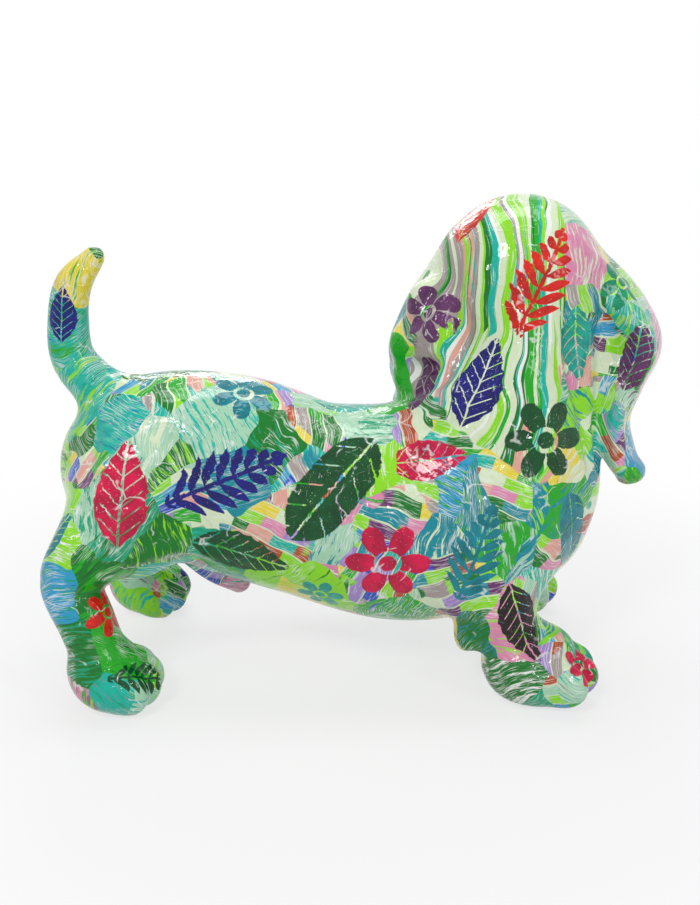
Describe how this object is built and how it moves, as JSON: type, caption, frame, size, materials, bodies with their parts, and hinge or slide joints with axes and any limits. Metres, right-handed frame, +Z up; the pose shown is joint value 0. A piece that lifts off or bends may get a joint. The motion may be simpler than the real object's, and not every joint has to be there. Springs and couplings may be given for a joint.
{
  "type": "dog figurine",
  "caption": "Hollow glazed ceramic figurine of a standing basset hound with its head turned aside, all-over hand-painted pattern and felt pads under the paws.",
  "frame": {"origin": "middle of the figure's box, on the surface it stands on", "axes": "+X the way the chest points, +Y to the dog's left, +Z up"},
  "size_m": [0.3108, 0.1734, 0.2411],
  "materials": {
    "glazed_body": "high gloss glaze over a painted pattern",
    "felt": "matt felt"
  },
  "bodies": {
    "root": {"torso_shell": "glazed_body", "head_shell": "glazed_body", "left_ear": "glazed_body", "right_ear": "glazed_body", "tail": "glazed_body", "front_left_leg": "glazed_body", "front_right_leg": "glazed_body", "hind_left_leg": "glazed_body", "hind_right_leg": "glazed_body", "front_left_pad": "felt", "front_right_pad": "felt", "hind_left_pad": "felt", "hind_right_pad": "felt"}
  },
  "joints": []
}
